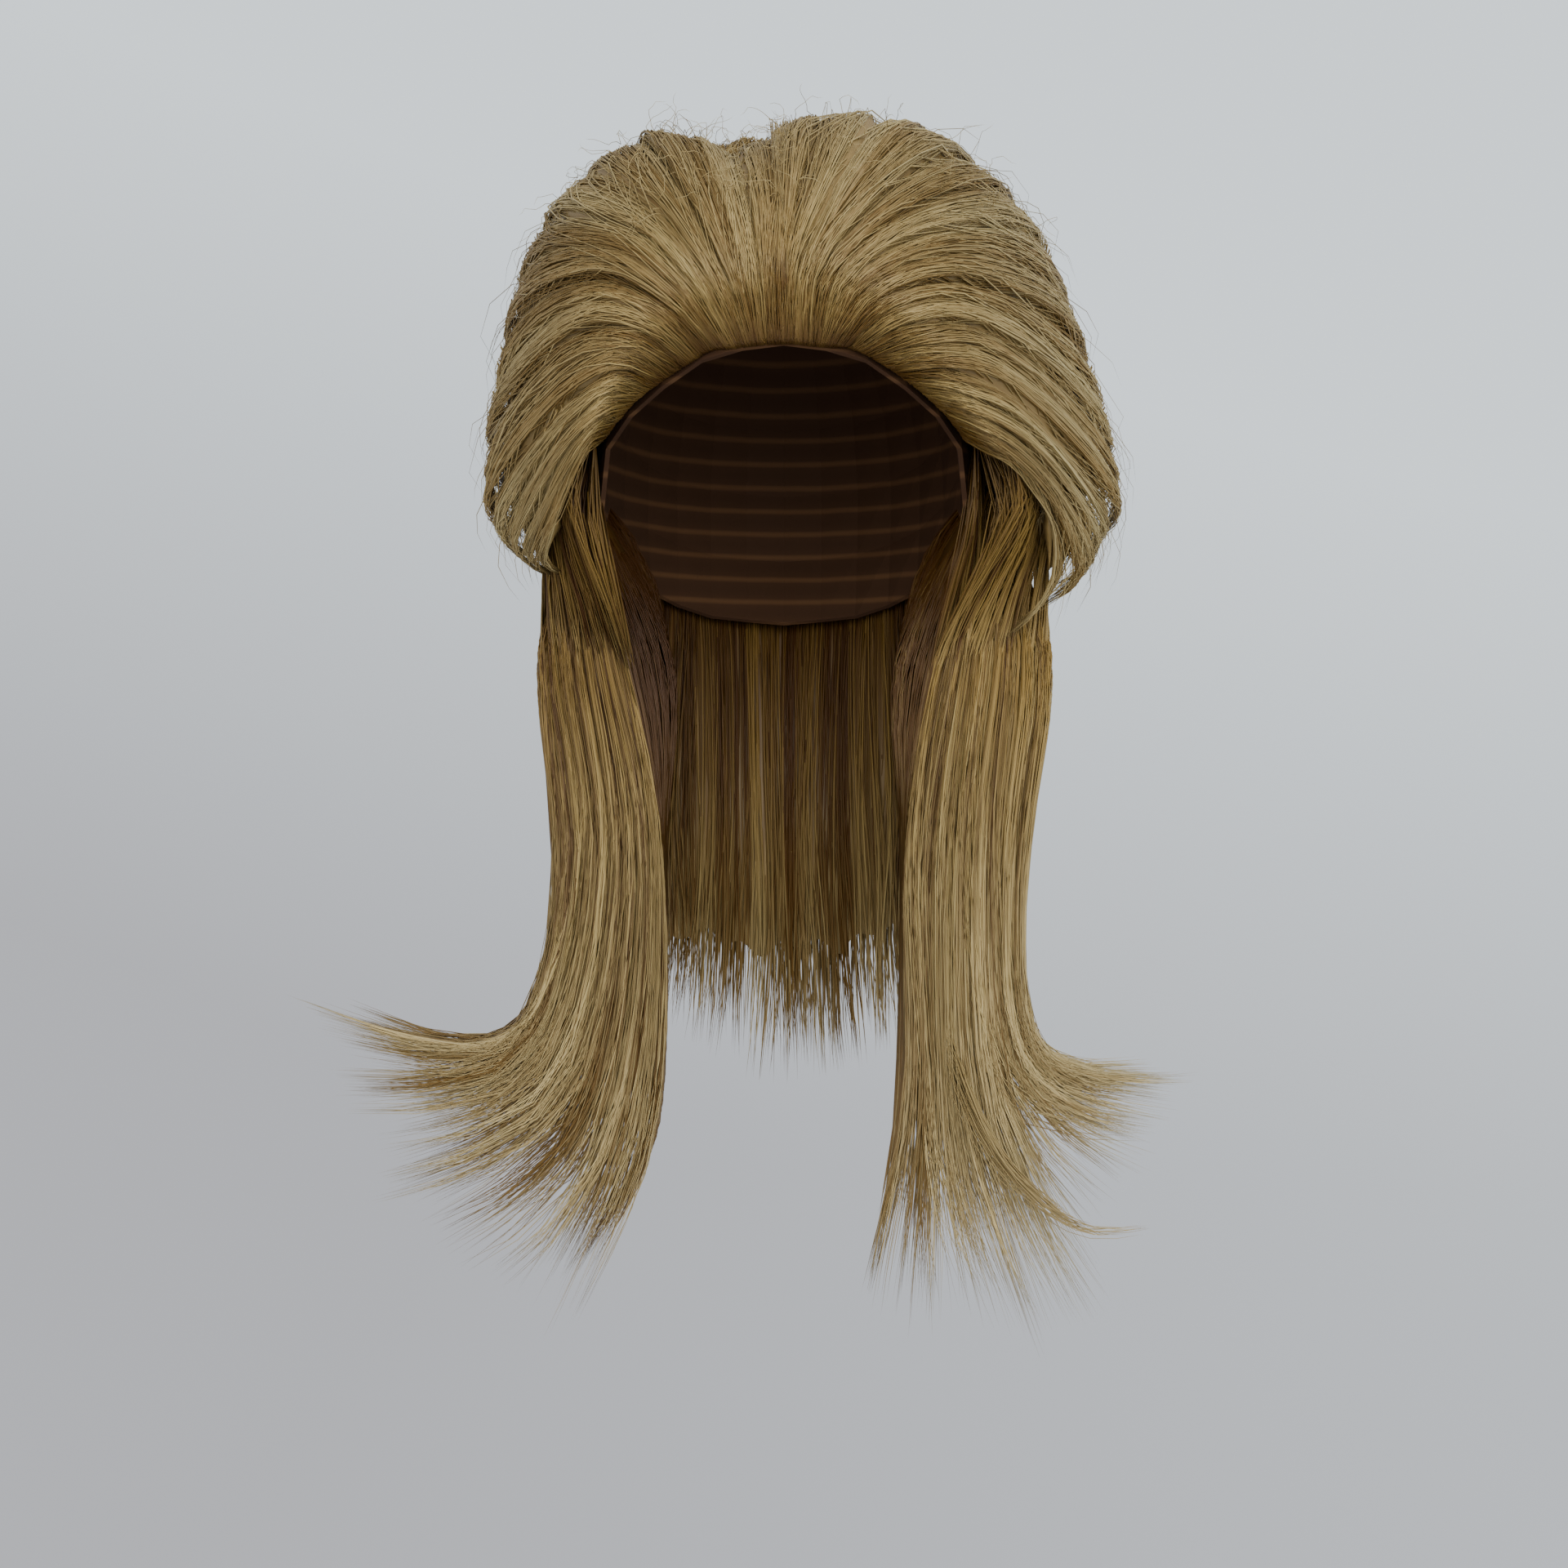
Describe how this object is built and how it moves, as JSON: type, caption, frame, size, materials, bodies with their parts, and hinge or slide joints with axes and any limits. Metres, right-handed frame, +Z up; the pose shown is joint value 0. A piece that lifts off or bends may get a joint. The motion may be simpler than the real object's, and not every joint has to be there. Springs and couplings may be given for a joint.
{
  "type": "mullet wig",
  "caption": "Mullet wig: a stretch cap with hair swept up and back from the face into a side wing each way, a layered crown, and long side and nape hair that flicks out at the ends.",
  "frame": {"origin": "inside of the cap at the crown, where the top of the wearer's head seats", "axes": "+Z up along the worn hair, the wearer faces -Y, +X is the viewer's right when seen from the front"},
  "size_m": [0.336, 0.2365, 0.4926],
  "materials": {
    "cap_net": "dark red-brown stretch net with sewn rows, matte",
    "swept_hair": "combed synthetic hair, ash blonde over golden roots, soft sheen along the locks",
    "crown_hair": "combed synthetic hair in layers, soft sheen",
    "long_hair": "long straight synthetic hair with pale tips, soft sheen",
    "nape_hair": "long synthetic hair, darker in the shade, soft sheen"
  },
  "bodies": {
    "root": {"wig_cap": "cap_net", "sweep_left": "swept_hair", "sweep_right": "swept_hair", "crown_back": "crown_hair", "length_left": "long_hair", "length_right": "long_hair", "nape_length": "nape_hair"}
  },
  "joints": []
}
